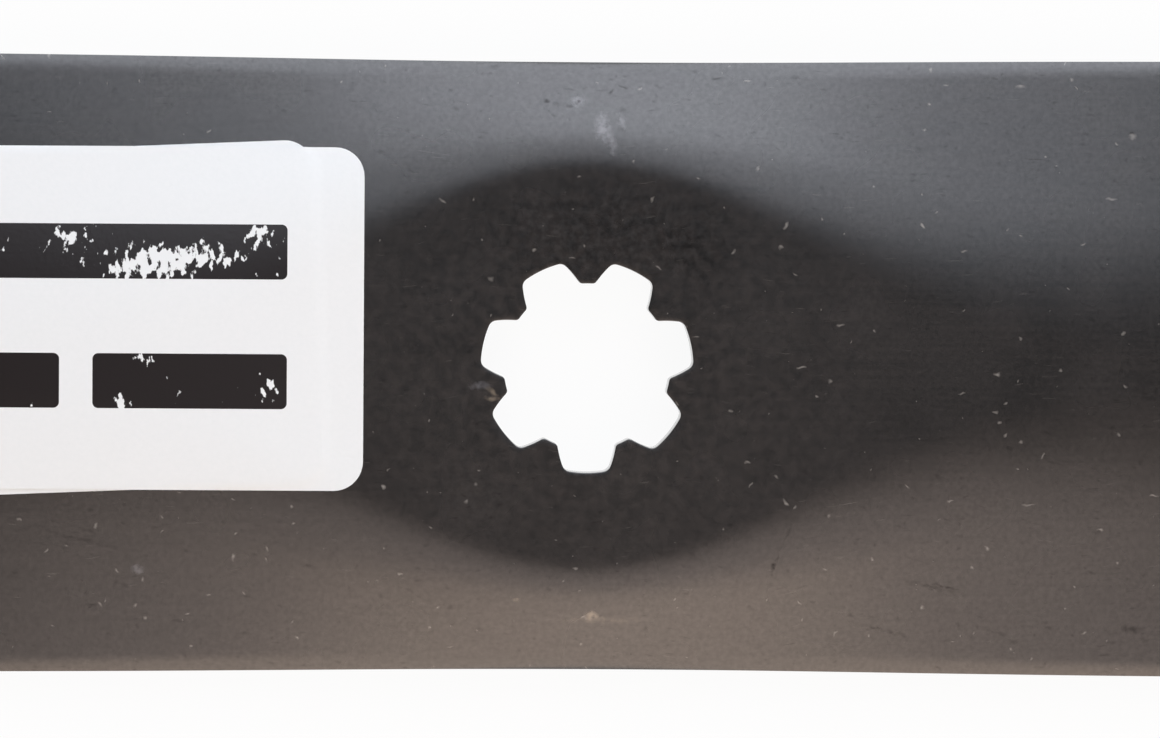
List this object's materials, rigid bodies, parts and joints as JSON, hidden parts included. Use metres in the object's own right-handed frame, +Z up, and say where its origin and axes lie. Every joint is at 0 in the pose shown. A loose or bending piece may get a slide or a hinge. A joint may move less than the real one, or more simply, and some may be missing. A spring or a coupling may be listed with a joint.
{
  "type": "rotary mower blade",
  "caption": "Flat steel mower blade with a star-shaped drive hole in a pressed-up hub, ground cutting edges, turned-up sails and paper labels.",
  "frame": {"origin": "on the star hole's axis, in the plane that the bar's underside rests on", "axes": "+X along the bar, away from the labels; +Y across the bar; +Z up along the spindle axis, the way the sails turn up"},
  "size_m": [0.5334, 0.0636, 0.0228],
  "materials": {
    "black_paint": "satin",
    "under_paper": "matte",
    "label_paper": "matte"
  },
  "bodies": {
    "root": {"blade": "black_paint", "under_label": "under_paper", "label": "label_paper"}
  },
  "joints": []
}
